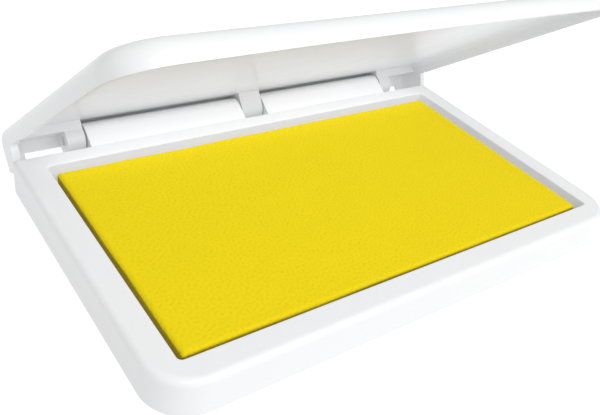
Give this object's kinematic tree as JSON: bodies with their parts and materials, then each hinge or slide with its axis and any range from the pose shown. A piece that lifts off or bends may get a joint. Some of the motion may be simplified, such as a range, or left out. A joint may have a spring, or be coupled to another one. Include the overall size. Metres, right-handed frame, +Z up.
{
  "type": "hinged ink pad",
  "caption": "Flat rectangular plastic case with a hinged lid, holding an ink-soaked felt pad under a fine yellow cloth.",
  "frame": {"origin": "on the flat underside of the tray, below the middle of the pad", "axes": "+X along the hinge, +Y from the open edge towards the hinge, +Z up out of the pad"},
  "size_m": [0.0998, 0.0678, 0.0474],
  "materials": {
    "white_case": "semi-gloss moulded white",
    "inked_cloth": "fine damp cloth, yellow",
    "ink_felt": "dense felt soaked with yellow ink",
    "hinge_pin": "smooth moulded white"
  },
  "bodies": {
    "base": {"base_tray": "white_case", "ink_felt": "ink_felt", "pad_cover": "inked_cloth"},
    "lid": {"lid": "white_case", "hinge_pin_left": "hinge_pin", "hinge_pin_right": "hinge_pin"}
  },
  "joints": [
    {"name": "lid_hinge", "type": "hinge", "parent": "base", "child": "lid", "pos_m": [0, 0.033, 0.0072], "axis": [-1, 0, 0], "range_deg": [-37.3, 72]}
  ]
}
